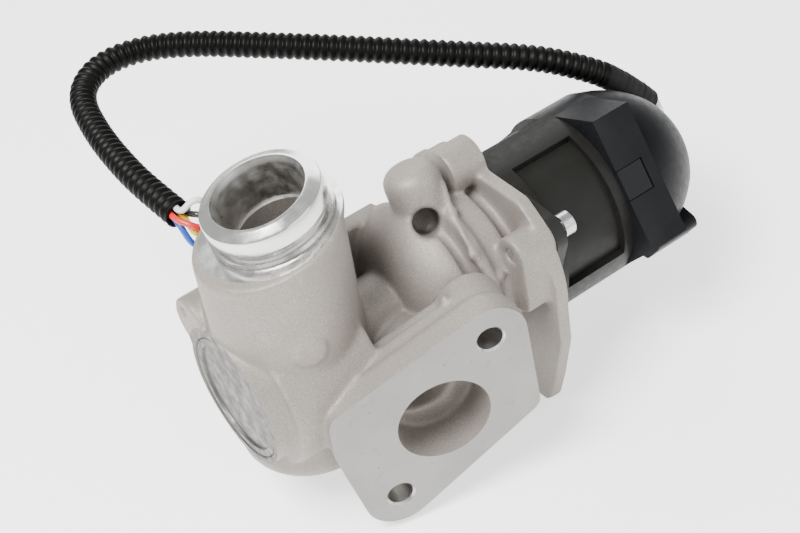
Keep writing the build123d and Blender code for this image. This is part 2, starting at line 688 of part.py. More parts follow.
def cable_gland():
    body = rod(valve_axis, gland_r, gland_end_x - 11, gland_end_x - 2, gland_y, gland_z)
    return body + rod(valve_axis, gland_r + 1.8, gland_end_x - 2.5, gland_end_x, gland_y, gland_z)


add("actuator_housing", actuator_housing())
add("actuator_gasket", tube(
    valve_axis, gasket_r + gasket_w - 0.1, gasket_r + 0.1, mount_x - gasket_depth + 0.1, mount_x))
add("cap_seal", cap_seal())
add("mounting_screws", *[mounting_screw(y, z) for y, z in screw_points])
add("end_cap", end_cap())
add("cap_clips", *tab_space(tab_size, tab_depth - 0.1, 0.3))
add("sensor_board", rod(valve_axis, board_r, board_x, board_x + board_thick))
add("cable_gland", cable_gland())


# ------------------------------------------------------------------ harness
inside_start, outside_start = (-20.2, 42.1, 48.1), (-20.5, 36.1, 47.9)
inside_end, outside_end = (166, 18.0, 6.3), (170.6, 17.2, 0.4)
bundle_r = 2.4


def bend_radii(points, share=0.45):
    """Largest fillet at each corner of a route that leaves both of its runs some straight."""
    radii = []
    for before, corner, after in zip(points, points[1:], points[2:]):
        run_in, run_out = Vector(corner) - Vector(before), Vector(after) - Vector(corner)
        half_turn = radians(run_in.get_angle(run_out)) / 2
        radii.append(share * min(run_in.length, run_out.length) / tan(half_turn))
    return radii


def cord(points, radius, bore=0.0):
    path = FilletPolyline(*points, radius=bend_radii(points))
    section = Circle(radius) - Circle(bore) if bore else Circle(radius)
    return sweep(Plane(origin=path @ 0, z_dir=path % 0) * section, path)


def strand(route, turn):
    """Route of one wire in the bundle that follows a centre route, mitred at each corner."""
    points = [Vector(p) for p in route]
    ways = [(q - p).normalized() for p, q in zip(points, points[1:])]
    side = ways[0].cross(Vector(0, 0, 1) if abs(ways[0].Z) < 0.7 else Vector(1, 0, 0)).normalized()
    offset = side * (bundle_r * cos(turn)) + ways[0].cross(side) * (bundle_r * sin(turn))
    places = [points[0] + offset]
    for corner, before, after in zip(points[1:], ways, ways[1:]):
        mitred = offset - before * (offset.dot(after) / (1 + before.dot(after)))
        places.append(corner + mitred)
        offset = mitred - after * mitred.dot(after)
    return places + [points[-1] + offset]


entry_y = connector_y + connector_w / 2
first_pin_z = connector_z + connector_h - 3
fan_turns = (-90, -162, -18, 126, 54)
cap_turns = (-18, -162, 54, 126, -90)
fan_bends = [
    (-15.5, 32.6, 56.3), (-16.8, 30, 51.1), (-19.2, 29.9, 47.2), (-19.5, 32, 43.8), (-21.2, 32.1, 39.1)]
gland_exit = [(gland_end_x, gland_y, gland_z), (gland_end_x + 4.5, gland_y, gland_z)]
for index, name in enumerate(wire_names):
    turn = radians(fan_turns[index])
    fan_start = strand([inside_start, conduit_route[0], outside_start], turn)
    entry_z = first_pin_z - wire_pitch * index
    fan_end = [fan_bends[index], (connector_x - 4, entry_y, entry_z), (connector_x, entry_y, entry_z)]
    cap_route = strand(gland_exit + [outside_end, inside_end], radians(cap_turns[index]))
    fan_route = [tuple(p) for p in fan_start[::2]] + fan_end
    add(f"wire_{name}", cord(fan_route, wire_r), cord([tuple(p) for p in cap_route], wire_r))
conduit = cord(conduit_route, conduit_r, conduit_bore_r)
print("conduit bend radii", [round(r) for r in bend_radii(conduit_route)])
add("conduit", conduit)


# ------------------------------------------------------------------ connector on its bracket
def connector_body():
    low = (Align.MIN, Align.MIN, Align.MIN)
    block = Pos(connector_x, connector_y, connector_z) * Box(connector_l, connector_w, connector_h, align=low)
    block = fillet(block.edges().filter_by(Axis.X), 2)
    shroud = Pos(connector_x + connector_l, connector_y, connector_z) * Box(
        shroud_l, connector_w, connector_h, align=low)
    shroud = fillet(shroud.edges().filter_by(Axis.X), 1.2)
    wall = shroud_wall
    shroud -= Pos(connector_x + connector_l, connector_y + wall, connector_z + wall) * Box(
        shroud_l + 1, connector_w - 2 * wall, connector_h - 2 * wall, align=low)
    return block + shroud


def contact_pins():
    start = connector_x + connector_l
    return [
        rod(valve_axis, pin_r, start, start + pin_length, entry_y, first_pin_z - wire_pitch * i)
        for i in range(len(wire_names))]


def connector_bracket():
    plate = Plane(origin=(tower_x, connector_y, 0), x_dir=(1, 0, 0), z_dir=(0, -1, 0))
    top = connector_z + connector_h
    outline = hull((0, bracket_screw_z, 7), (9, top - 4, 4), (18, top - 4, 4), (18, connector_z + 3, 3))
    outline -= Pos(0, bracket_screw_z) * Circle(screw_r + 0.3)
    return prism(plate, outline, 0, bracket_thick)


add("connector_body", connector_body())
add("contact_pins", *contact_pins())
add("connector_bracket", connector_bracket())
screw_seat = Plane(origin=(tower_x, connector_y, bracket_screw_z), z_dir=(0, 1, 0))
add("bracket_screw", rod(screw_seat, screw_r, -6, 0) + rod(screw_seat, screw_head_r, 0, 3.5)
    - prism(screw_seat, RegularPolygon(2.3, 6), 1.5, 4))

# ------------------------------------------------------------------ write the pieces
for node, solids in nodes.items():
    placed = [solid.moved(to_port) for solid in solids]
    export_step(placed[0] if len(placed) == 1 else Compound(children=placed), f"parts/{node}.step")
    print(node, len(solids), round(sum(solid.volume for solid in solids)))
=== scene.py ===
from math import cos, pi, radians, sin
import bmesh
import bpy
from mathutils import Matrix, Vector


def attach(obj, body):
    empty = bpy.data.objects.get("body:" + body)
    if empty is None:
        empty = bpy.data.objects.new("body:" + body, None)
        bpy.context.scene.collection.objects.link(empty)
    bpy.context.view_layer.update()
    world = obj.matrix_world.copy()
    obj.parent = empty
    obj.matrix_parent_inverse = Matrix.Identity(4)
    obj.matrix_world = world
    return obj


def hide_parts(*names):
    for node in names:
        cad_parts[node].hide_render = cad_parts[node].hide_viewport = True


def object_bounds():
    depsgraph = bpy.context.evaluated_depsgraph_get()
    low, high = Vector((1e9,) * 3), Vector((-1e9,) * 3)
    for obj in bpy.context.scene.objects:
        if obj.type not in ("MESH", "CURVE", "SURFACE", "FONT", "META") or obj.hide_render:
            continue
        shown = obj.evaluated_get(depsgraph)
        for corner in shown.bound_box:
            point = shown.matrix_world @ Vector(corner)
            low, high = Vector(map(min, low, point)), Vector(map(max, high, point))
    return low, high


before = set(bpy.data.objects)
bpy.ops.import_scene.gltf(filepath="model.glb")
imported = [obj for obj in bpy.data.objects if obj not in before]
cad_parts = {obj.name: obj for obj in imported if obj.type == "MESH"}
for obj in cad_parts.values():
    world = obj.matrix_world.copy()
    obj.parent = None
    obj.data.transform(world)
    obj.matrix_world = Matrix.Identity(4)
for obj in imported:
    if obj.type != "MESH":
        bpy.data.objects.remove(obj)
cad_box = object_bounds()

MM = 0.001
PORT = Vector((18.0, -44.0, -14.4))     # the row's origin, seen from the valve axis


def at(x, y, z):
    """A point given in mm from the valve axis, in the row frame in metres."""
    return (Vector((x, y, z)) - PORT) * MM


YAW, LEAN = radians(16.5), radians(12.5)
FLANGE_OUT = Vector((-sin(YAW), -cos(YAW), 0))
FLANGE_ACROSS = Vector((cos(YAW), -sin(YAW), 0))
SPIGOT_UP = FLANGE_ACROSS * -sin(LEAN) + Vector((0, 0, cos(LEAN)))
SPIGOT_SIDE = FLANGE_ACROSS * cos(LEAN) + Vector((0, 0, sin(LEAN)))
X, Y, Z = Vector((1, 0, 0)), Vector((0, 1, 0)), Vector((0, 0, 1))

# Places on the casting, in mm
END_FACE_X = 76.5                        # where the actuator bolts on
PLUG_FACE_X = -34.2                      # rim round the plug
SPIGOT_RIM = (-6.7, 3.75, 68.3)          # centre of the spigot's top
FLANGE_BOLT_X, FLANGE_BOLT_Y = 19.2, 27.9
SCREW_RING_R, SCREW_FIRST_DEG, SCREW_COUNT = 35.3, -55.4, 3
BOLT_HOLE_R, SCREW_HOLE_R = 4.5, 2.55
SPIGOT_BORE_R, SPIGOT_BORE_DEPTH, CAST_BORE_R = 15.0, 16.0, 14.2
PLUG_BORE_R = 22.72
ALLOWANCE = 3                            # metal left on each joint face for machining
SKIN, EASING_PASSES = 0.75, 12           # cell size of the casting's skin, and how often it is smoothed


def plane(origin, x_dir, z_dir):
    """A matrix that takes local mm to the row frame: x_dir is local x, z_dir local z."""
    y_dir = z_dir.cross(x_dir)
    rotation = Matrix((x_dir, y_dir, z_dir)).transposed().to_4x4()
    return Matrix.Translation(at(*origin)) @ rotation @ Matrix.Scale(MM, 4)


VALVE_AXIS = plane((0, 0, 0), Y, X)                    # local x, y, z are Y, Z, X
PORT_FACE = plane(PORT, FLANGE_ACROSS, FLANGE_OUT)
SPIGOT_TOP = plane(SPIGOT_RIM, SPIGOT_SIDE, SPIGOT_UP)


# ---------------------------------------------------------------- camera
camera_data = bpy.data.cameras.new("camera")
camera = bpy.data.objects.new("camera", camera_data)
bpy.context.collection.objects.link(camera)
camera_data.lens, camera_data.sensor_width = 72.0, 36.0
camera_data.clip_start, camera_data.clip_end = 0.01, 20.0
right = Vector((0.7946, -0.5937, -0.1272))
down = Vector((-0.4725, -0.4731, -0.7436))
ahead = Vector((0.3813, 0.6509, -0.6565))
camera_place = Vector((-189.1, -310.8, 385.6)) * MM
turn = Matrix((right, -down, -ahead)).transposed().to_4x4()
camera.matrix_world = Matrix.Translation(camera_place) @ turn
bpy.context.scene.camera = camera


# ---------------------------------------------------------------- node materials
class Shader:
    """A Principled material, with short calls for the nodes that feed it."""

    def __init__(self, name, roughness=0.5, metallic=0.0, **settings):
        self.material = bpy.data.materials.new(name)
        self.material.use_nodes = True
        self.tree = self.material.node_tree
        self.surface = self.tree.nodes["Principled BSDF"]
        self.surface.inputs["Roughness"].default_value = roughness
        self.surface.inputs["Metallic"].default_value = metallic
        for key, value in settings.items():
            self.surface.inputs[key.replace("_", " ")].default_value = value
        self.place = self.node("ShaderNodeTexCoord").outputs["Object"]
        self.height = None

    def node(self, kind, **inputs):
        node = self.tree.nodes.new(kind)
        for key, value in inputs.items():
            socket = node.inputs[key.replace("_", " ")]
            if isinstance(value, bpy.types.NodeSocket):
                self.tree.links.new(value, socket)
            else:
                socket.default_value = value
        return node

    def noise(self, size, detail=3.0, vector=None, rough=0.55):
        """Noise whose features are about size mm."""
        place = vector or self.place
        scale = 1.0 / (size * MM)
        node = self.node("ShaderNodeTexNoise", Vector=place, Scale=scale, Detail=detail, Roughness=rough)
        return node.outputs["Fac"]

    def ramp(self, value, low, high, out_low=0.0, out_high=1.0):
        node = self.node("ShaderNodeMapRange", Value=value)
        limits = {"From Min": low, "From Max": high, "To Min": out_low, "To Max": out_high}
        for key, number in limits.items():
            node.inputs[key].default_value = number
        return node.outputs["Result"]

    def mix(self, factor, first, second):
        node = self.tree.nodes.new("ShaderNodeMix")
        node.data_type = "RGBA"
        for index, value in ((0, factor), (6, first), (7, second)):
            if isinstance(value, bpy.types.NodeSocket):
                self.tree.links.new(value, node.inputs[index])
            elif index == 0:
                node.inputs[0].default_value = value
            else:
                node.inputs[index].default_value = (*value, 1)
        return node.outputs[2]

    def along(self, direction):
        """How far a point lies along a direction."""
        node = self.node("ShaderNodeVectorMath", Vector=self.place)
        node.operation = "DOT_PRODUCT"
        node.inputs[1].default_value = direction
        return node.outputs["Value"]

    def rings(self, direction, size):
        """Fine lines square to a direction, such as the marks of a lathe tool."""
        node = self.node("ShaderNodeTexNoise", Scale=1.0 / (size * MM), Detail=4.0)
        node.noise_dimensions = "1D"
        self.tree.links.new(self.along(direction), node.inputs["W"])
        return node.outputs["Fac"]

    def colour(self, value):
        self.tree.links.new(value, self.surface.inputs["Base Color"])

    def roughness(self, value):
        self.tree.links.new(value, self.surface.inputs["Roughness"])

    def bump(self, value, depth, strength=1.0):
        """Adds relief depth mm high, over any relief already there."""
        node = self.node("ShaderNodeBump", Height=value, Strength=strength, Distance=depth * MM)
        if self.height is not None:
            self.tree.links.new(self.height, node.inputs["Normal"])
        self.height = node.outputs["Normal"]
        self.tree.links.new(self.height, self.surface.inputs["Normal"])

    def edge(self, low, high):
        """From 0 up to 1 as the surface goes from hollow, through flat, to a convex edge."""
        geometry = self.node("ShaderNodeNewGeometry")
        return self.ramp(geometry.outputs["Pointiness"], low, high)


def cast_alloy(name, shade=1.0):
    """Sand-blasted aluminium casting: warm grey, speckled with fine grain, with painted glints and painted
    shade in its hollows. A shade below 1 darkens every colour, as painted shade.
    """
    def tone(*colour):
        return [c * shade for c in colour]

    s = Shader(name, roughness=0.58, metallic=0.35)
    patches = s.ramp(s.noise(16.0, 3.0), 0.35, 0.68)
    base = s.mix(patches, tone(0.252, 0.226, 0.199), tone(0.304, 0.278, 0.250))
    grain = s.ramp(s.noise(0.36, 2.0), 0.36, 0.68)
    base = s.mix(grain, tone(0.200, 0.179, 0.158), base)
    # Bright specks in the colour: painted glints of light on the grain
    painted_glints = s.ramp(s.noise(0.32, 1.0), 0.62, 0.76)
    base = s.mix(painted_glints, base, tone(0.45, 0.42, 0.385))
    # Darker colour in hollows and creases: painted shade
    painted_recess_shade = s.edge(0.40, 0.495)
    s.colour(s.mix(painted_recess_shade, tone(0.115, 0.102, 0.09), base))
    s.roughness(s.ramp(s.noise(0.8, 2.0), 0.3, 0.7, 0.50, 0.66))
    s.bump(s.noise(9.0, 2.0), 0.35, 0.5)
    s.bump(s.noise(0.4, 3.0), 0.07, 0.8)
    return s.material


def ground_alloy(name):
    """Milled joint face: pale, faint tool lines, a few pits and stains."""
    s = Shader(name, roughness=0.42, metallic=0.55)
    cloud = s.ramp(s.noise(22.0, 3.0), 0.3, 0.7)
    base = s.mix(cloud, (0.200, 0.196, 0.187), (0.240, 0.236, 0.226))
    stain = s.ramp(s.noise(5.0, 4.0), 0.62, 0.78)
    base = s.mix(stain, base, (0.185, 0.173, 0.160))
    pits = s.ramp(s.noise(1.3, 0.0), 0.83, 0.86)
    s.colour(s.mix(pits, base, (0.12, 0.12, 0.12)))
    tool_way, tool_step = (0.31, -0.2, 0.93), 0.35
    s.roughness(s.ramp(s.rings(tool_way, tool_step), 0.3, 0.7, 0.36, 0.48))
    s.bump(s.rings(tool_way, tool_step), 0.01, 0.35)
    return s.material


def turned(name, direction, base=(0.76, 0.755, 0.74), roughness=0.2, line=0.3, depth=0.02):
    """Metal turned on a lathe: rings of fine lines round the axis."""
    s = Shader(name, roughness=roughness, metallic=1.0)
    lines = s.rings(direction, line)
    s.colour(s.mix(s.ramp(lines, 0.3, 0.7), [c * 0.82 for c in base], base))
    s.roughness(s.ramp(s.noise(4.0, 3.0), 0.3, 0.7, roughness * 0.7, roughness * 1.5))
    s.bump(lines, depth, 0.5)
    s.bump(s.noise(3.0, 2.0), 0.02, 0.3)
    return s.material


def moulded(name, base, roughness=0.42, grain=0.25, depth=0.015, dust=0.02, sheen=0.5):
    """Moulded plastic or powder coat: fine grain, faint dust and paler edges."""
    s = Shader(name, roughness=roughness, Specular_IOR_Level=sheen)
    cloud = s.ramp(s.noise(14.0, 4.0), 0.35, 0.7)
    pale = [c + dust * 0.4 for c in base]
    colour = s.mix(cloud, base, pale)
    specks = s.ramp(s.noise(1.1, 2.0), 0.70, 0.80)
    colour = s.mix(specks, colour, [c + dust for c in base])
    s.colour(s.mix(s.edge(0.53, 0.62), colour, [c + dust * 0.9 for c in base]))
    s.roughness(s.ramp(s.noise(2.5, 3.0), 0.3, 0.7, roughness * 0.88, roughness * 1.15))
    s.bump(s.noise(grain, 2.0), depth, 0.6)
    return s.material


def plated(name, base, roughness=0.3, metallic=1.0, grain=0.5):
    """Plain metal with a fine directionless finish and light handling marks."""
    s = Shader(name, roughness=roughness, metallic=metallic)
    cloud = s.ramp(s.noise(6.0, 4.0), 0.3, 0.7)
    colour = s.mix(cloud, [c * 0.85 for c in base], base)
    s.colour(s.mix(s.edge(0.53, 0.62), colour, [min(1, c * 1.25) for c in base]))
    s.roughness(s.ramp(s.noise(1.5, 3.0), 0.3, 0.7, roughness * 0.75, roughness * 1.3))
    s.bump(s.noise(grain, 2.0), 0.012, 0.5)
    return s.material


CAST = cast_alloy("cast_alloy")
# A darker copy of the casting alloy: painted shade for the dark cast bore inside the spigot
CAST_PAINTED_SHADE = cast_alloy("cast_alloy_painted_shade", 0.72)
GROUND = ground_alloy("ground_face")
SPIGOT = turned("turned_spigot", SPIGOT_UP)
BORE = turned("turned_bore", SPIGOT_UP, (0.50, 0.49, 0.47), 0.36, 0.7, 0.03)
PLUG = turned("turned_plug", X, (0.128, 0.123, 0.115), 0.46)
DRILLED = turned("drilled", X, (0.50, 0.49, 0.47), 0.35)
STAINLESS = turned("stainless", X, (0.55, 0.54, 0.52), 0.28)
STEEL = plated("steel", (0.56, 0.56, 0.57), 0.28)
DARK_STEEL = plated("dark_steel", (0.13, 0.13, 0.14), 0.45, 0.8)
BRONZE = plated("sintered_bronze", (0.42, 0.27, 0.12), 0.42)
BRASS = plated("brass", (0.72, 0.53, 0.22), 0.25)
COPPER = plated("copper", (0.66, 0.30, 0.17), 0.3)
MAGNET = moulded("magnet", (0.045, 0.045, 0.05), 0.5)
CARBON = moulded("carbon", (0.03, 0.03, 0.03), 0.6)
CAN = moulded("coated_can", (0.0072, 0.0071, 0.0060), 0.46, 0.5, 0.02, 0.006, 0.15)
CAP = moulded("cap_plastic", (0.0042, 0.0045, 0.0053), 0.42, 0.35, 0.012, 0.005, 0.11)
GREY = moulded("grey_plastic", (0.16, 0.16, 0.17), 0.45)
ACETAL = moulded("acetal", (0.66, 0.63, 0.56), 0.35, 0.4, 0.01, 0.03)
BOARD = moulded("circuit_board", (0.012, 0.10, 0.04), 0.35)
RUBBER = moulded("rubber", (0.012, 0.012, 0.012), 0.6)
GASKET = moulded("gasket", (0.10, 0.03, 0.02), 0.55)
CONDUIT = moulded("conduit_plastic", (0.0024, 0.0024, 0.0021), 0.38, 0.6, 0.02, 0.003, 0.08)
TAPE = moulded("cloth_tape", (0.006, 0.006, 0.006), 0.66, 0.45, 0.06, 0.008, 0.12)
WIRES = {
    "white": moulded("wire_white", (0.70, 0.70, 0.68), 0.30, 0.6, 0.005, -0.05),
    "black": moulded("wire_black", (0.010, 0.010, 0.010), 0.28, 0.6, 0.005),
    "red": moulded("wire_red", (0.56, 0.015, 0.012), 0.28, 0.6, 0.005),
    "yellow": moulded("wire_yellow", (0.72, 0.47, 0.01), 0.28, 0.6, 0.005),
    "blue": moulded("wire_blue", (0.01, 0.07, 0.36), 0.28, 0.6, 0.005),
}


# ---------------------------------------------------------------- mesh helpers
def put(name, mesh, *materials):
    """Places a mesh in the scene with its finishes."""
    piece = bpy.data.objects.new(name, mesh)
    bpy.context.collection.objects.link(piece)
    for material in materials:
        mesh.materials.append(material)
    return piece


def baked(piece):
    """Applies the modifiers of a piece."""
    graph = bpy.context.evaluated_depsgraph_get()
    mesh = bpy.data.meshes.new_from_object(piece.evaluated_get(graph))
    piece.modifiers.clear()
    piece.data = mesh
    return piece


def smooth(mesh, angle=35):
    """Smooth shading that stays crisp across edges sharper than an angle in degrees."""
    mesh.shade_smooth()
    mesh.set_sharp_from_angle(angle=radians(angle))


def lathe(name, frame_matrix, points, material, segments=96, closed=True):
    """Revolves (radius, height) points in mm about local z."""
    mesh = bpy.data.meshes.new(name)
    rings, faces, verts = [], [], []
    for radius, height in points:
        ring = []
        for i in range(segments if radius > 1e-6 else 1):
            angle = 2 * pi * i / segments
            ring.append(len(verts))
            verts.append(frame_matrix @ Vector((radius * cos(angle), radius * sin(angle), height)))
        rings.append(ring)
    pairs = list(zip(rings, rings[1:])) + ([(rings[-1], rings[0])] if closed else [])
    for low, high in pairs:
        for i in range(segments):
            j = (i + 1) % segments
            if len(low) == 1 and len(high) == 1:
                continue
            if len(low) == 1:
                faces.append((low[0], high[j], high[i]))
            elif len(high) == 1:
                faces.append((low[i], low[j], high[0]))
            else:
                faces.append((low[i], low[j], high[j], high[i]))
    mesh.from_pydata(verts, [], faces)
    tidy_normals(mesh)
    return put(name, mesh, material)


def tidy_normals(mesh):
    bm = bmesh.new()
    bm.from_mesh(mesh)
    bmesh.ops.recalc_face_normals(bm, faces=bm.faces[:])
    bm.to_mesh(mesh)
    bm.free()


def rod(name, frame_matrix, radius, start, end, x=0.0, y=0.0, material=None, segments=64):
    """A solid cylinder along local z, from start to end in mm."""
    shift = frame_matrix @ Matrix.Translation((x, y, 0))
    points = [(0, start), (radius, start), (radius, end), (0, end)]
    return lathe(name, shift, points, material, segments, False)


def block(name, frame_matrix, low, high, material=None):
    """A box between two corners in local mm."""
    mesh = bpy.data.meshes.new(name)
    bm = bmesh.new()
    bmesh.ops.create_cube(bm, size=1.0)
    centre, size = (Vector(low) + Vector(high)) / 2, Vector(high) - Vector(low)
    for vert in bm.verts:
        vert.co = frame_matrix @ (centre + Vector([vert.co[i] * size[i] for i in range(3)]))
    bmesh.ops.recalc_face_normals(bm, faces=bm.faces[:])
    bm.to_mesh(mesh)
    bm.free()
    return put(name, mesh, material)


def combine(piece, operation, *others):
    """Adds other closed pieces to one, or cuts them from it, keeping their finishes."""
    for other in others:
        step = piece.modifiers.new("cut", "BOOLEAN")
        step.operation, step.solver, step.material_mode = operation, "MANIFOLD", "TRANSFER"
        step.object = other
        baked(piece)
        bpy.data.objects.remove(other)
    return piece


def remesh(piece, passes=0):
    """Turns a piece into one even closed skin, with its edges eased by smoothing passes."""
    step = piece.modifiers.new("remesh", "REMESH")
    step.mode, step.voxel_size = "VOXEL", SKIN * MM
    if passes:
        relax = piece.modifiers.new("relax", "SMOOTH")
        relax.factor, relax.iterations = 0.5, passes
    return baked(piece)


def extend_faces(piece, point, normal, amount):
    """Grows the flat face that lies in a plane outward by amount mm, as stock for machining."""
    bm = bmesh.new()
    bm.from_mesh(piece.data)
    normal = normal.normalized()
    in_plane = 0.03 * MM
    flat = [
        f for f in bm.faces
        if f.normal.dot(normal) > 0.999 and abs((f.calc_center_median() - point).dot(normal)) < in_plane]
    grown = bmesh.ops.extrude_face_region(bm, geom=flat)
    moved = [v for v in grown["geom"] if isinstance(v, bmesh.types.BMVert)]
    bmesh.ops.translate(bm, vec=normal * amount * MM, verts=moved)
    bm.to_mesh(piece.data)
    bm.free()


# ---------------------------------------------------------------- the conduit
ROUTE = [
    (-20.3, 39.1, 48), (-21.2, 54.7, 48.5), (-21.3, 71.6, 49), (-18.7, 98.1, 49),
    (-12.3, 124.5, 49), (1.7, 135.1, 50), (19.3, 133.3, 50), (35.2, 118.6, 51),
    (51.5, 98.7, 51), (69.4, 79, 50), (88.1, 61.6, 47), (107.6, 45.7, 43),
    (125.9, 34.1, 38), (140.1, 26, 31), (156, 19.7, 19), (167.8, 17.7, 4)]


def spline_path(points, resolution=40):
    """Points along the NURBS spline that has these control points."""
    curve = bpy.data.curves.new("route", "CURVE")
    curve.dimensions = "3D"
    spline = curve.splines.new("NURBS")
    spline.points.add(len(points) - 1)
    for knot, point in zip(spline.points, points):
        knot.co = (*at(*point), 1)
    spline.order_u = 3
    spline.use_endpoint_u = True
    curve.resolution_u = resolution
    holder = bpy.data.objects.new("route", curve)
    bpy.context.collection.objects.link(holder)
    graph = bpy.context.evaluated_depsgraph_get()
    mesh = bpy.data.meshes.new_from_object(holder.evaluated_get(graph))
    path = [v.co.copy() for v in mesh.vertices]
    bpy.data.objects.remove(holder)
    return path


def even_path(path, step):
    """The same path as points a given distance apart."""
    lengths = [0.0]
    for a, b in zip(path, path[1:]):
        lengths.append(lengths[-1] + (b - a).length)
    count = max(2, round(lengths[-1] / step))
    out, i = [], 0
    for k in range(count + 1):
        want = lengths[-1] * k / count
        while i < len(path) - 2 and lengths[i + 1] < want:
            i += 1
        part = (want - lengths[i]) / max(1e-9, lengths[i + 1] - lengths[i])
        out.append(path[i].lerp(path[i + 1], part))
    return out, lengths[-1]


def tube_mesh(name, points, radii, inner, segments, *materials):
    """A hollow tube along points, with its own radius at each."""
    mesh = bpy.data.meshes.new(name)
    verts, faces = [], []
    way = (points[1] - points[0]).normalized()
    side = way.orthogonal().normalized()
    tracks = []
    for shell in ("out", "in"):
        across, rings = side.copy(), []
        for i, point in enumerate(points):
            way = (points[min(i + 1, len(points) - 1)] - points[max(i - 1, 0)]).normalized()
            across = (across - way * across.dot(way)).normalized()
            up = way.cross(across)
            radius = radii[i] if shell == "out" else inner
            ring = []
            for k in range(segments):
                angle = 2 * pi * k / segments
                ring.append(len(verts))
                verts.append(point + (across * cos(angle) + up * sin(angle)) * radius)
            rings.append(ring)
        tracks.append(rings)
    outer, bore = tracks
    for rings, flip in ((outer, False), (bore, True)):
        for a, b in zip(rings, rings[1:]):
            for k in range(segments):
                j = (k + 1) % segments
                face = (a[k], a[j], b[j], b[k])
                faces.append(face[::-1] if flip else face)
    for a, b in ((outer[0], bore[0]), (bore[-1], outer[-1])):
        for k in range(segments):
            j = (k + 1) % segments
            faces.append((a[j], a[k], b[k], b[j]))
    mesh.from_pydata(verts, [], faces)
    tidy_normals(mesh)
    mesh.shade_smooth()
    return put(name, mesh, *materials)


route = spline_path(ROUTE)
RIB, RINGS_A_RIB, SIDES = 3.3 * MM, 8, 28
CREST, VALLEY, INSIDE = 5.0 * MM, 4.05 * MM, 3.7 * MM
TAPE_LENGTH, TAPE_LAP = 27 * MM, 9.0
step_length = RIB / RINGS_A_RIB
route_points, route_length = even_path(route, step_length)
tape_start = len(route_points) - round(TAPE_LENGTH / step_length)
radii = []
for i in range(len(route_points)):
    wave = (0.5 + 0.5 * cos(2 * pi * (i % RINGS_A_RIB) / RINGS_A_RIB)) ** 0.55
    if i < tape_start:
        radii.append(VALLEY + (CREST - VALLEY) * wave)
    else:
        lap = ((i - tape_start) * step_length / MM % TAPE_LAP) / TAPE_LAP
        radii.append(CREST - (0.05 + 0.16 * lap + 0.08 * (1 - wave)) * MM)
conduit = tube_mesh("corrugated_conduit", route_points, radii, INSIDE, SIDES, CONDUIT, TAPE)
for face in conduit.data.polygons[tape_start * SIDES:(len(route_points) - 1) * SIDES]:
    face.material_index = 1
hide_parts("conduit")
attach(conduit, "valve_body")


# ---------------------------------------------------------------- the cast body
def cad_copy(node):
    """A free copy of a CAD object's mesh, as stock for the finished casting."""
    return put(node + "_form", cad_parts[node].data.copy())


def machining():
    """Cutters for every machined face of the body, each with the finish it leaves; the cutter of the cast
    bore leaves the darker copy of the alloy, as painted shade.
    """
    cutters = [block("cutter", PORT_FACE, (-60, -60, 0), (60, 60, 14), GROUND)]
    profile = [
        (21.2, -9.2), (21.2, -10.7), (20.0, -11.5), (26, -11.5), (26, 6), (0, 6), (0, 1.6), (16.4, 1.6),
        (17.2, 1.3), (19.6, 0.1), (20.3, -0.1), (20.6, -0.6), (20.6, -6.0), (20.1, -6.6), (18.7, -6.6),
        (18.4, -7.1), (18.4, -8.4), (18.9, -8.9)]
    cutters.append(lathe("cutter", SPIGOT_TOP, profile, SPIGOT, 160))
    bore = [
        (0, -SPIGOT_BORE_DEPTH), (SPIGOT_BORE_R, -SPIGOT_BORE_DEPTH), (SPIGOT_BORE_R, -1.2),
        (SPIGOT_BORE_R + 0.4, -0.2), (SPIGOT_BORE_R + 2.5, 5), (0, 5)]
    cutters.append(lathe("cutter", SPIGOT_TOP, bore, BORE, 128, False))
    low_bore_top = 1 - SPIGOT_BORE_DEPTH
    # The cast bore below the turned bore gets the darker copy of the alloy, as painted shade
    cutters.append(rod("cutter", SPIGOT_TOP, CAST_BORE_R, -30, low_bore_top, 0, 0, CAST_PAINTED_SHADE, 96))
    plug = [
        (0, -40), (28, -40), (28, PLUG_FACE_X), (23.1, PLUG_FACE_X), (PLUG_BORE_R, PLUG_FACE_X + 0.4),
        (PLUG_BORE_R, PLUG_FACE_X + 4), (0, PLUG_FACE_X + 4)]
    cutters.append(lathe("cutter", VALVE_AXIS, plug, PLUG, 128, False))
    cutters.append(block("cutter", VALVE_AXIS, (-70, -90, END_FACE_X), (70, 70, END_FACE_X + 7.5), GROUND))
    rim_r = BOLT_HOLE_R + 1.1
    bolt_hole = [(0, -30), (BOLT_HOLE_R, -30), (BOLT_HOLE_R, -0.7), (rim_r, 0.4), (rim_r, 2), (0, 2)]
    for sign in (1, -1):
        shifted = PORT_FACE @ Matrix.Translation((FLANGE_BOLT_X * sign, FLANGE_BOLT_Y * sign, 0))
        cutters.append(lathe("cutter", shifted, bolt_hole, DRILLED, 48, False))
    for i in range(SCREW_COUNT):
        angle = radians(SCREW_FIRST_DEG + 360 / SCREW_COUNT * i)
        y, z = SCREW_RING_R * sin(angle), SCREW_RING_R * cos(angle)
        cutters.append(rod("cutter", VALVE_AXIS, SCREW_HOLE_R, 60, 80, y, z, DRILLED, 32))
    return cutters


def bar(start, end, radius):
    """A round bar between two points in mm from the valve axis."""
    way = Vector(end) - Vector(start)
    along = way.normalized()
    place = plane(start, along.orthogonal().normalized(), along)
    return rod("stock", place, radius, 0, way.length, segments=24)


def ball(centre, radius):
    """A ball as stock for a casting mark."""
    steps = [pi * i / 12 for i in range(13)]
    points = [(radius * sin(a) if 0 < a < pi else 0, -radius * cos(a)) for a in steps]
    return lathe("stock", plane(centre, X, Z), points, CAST, 24, False)


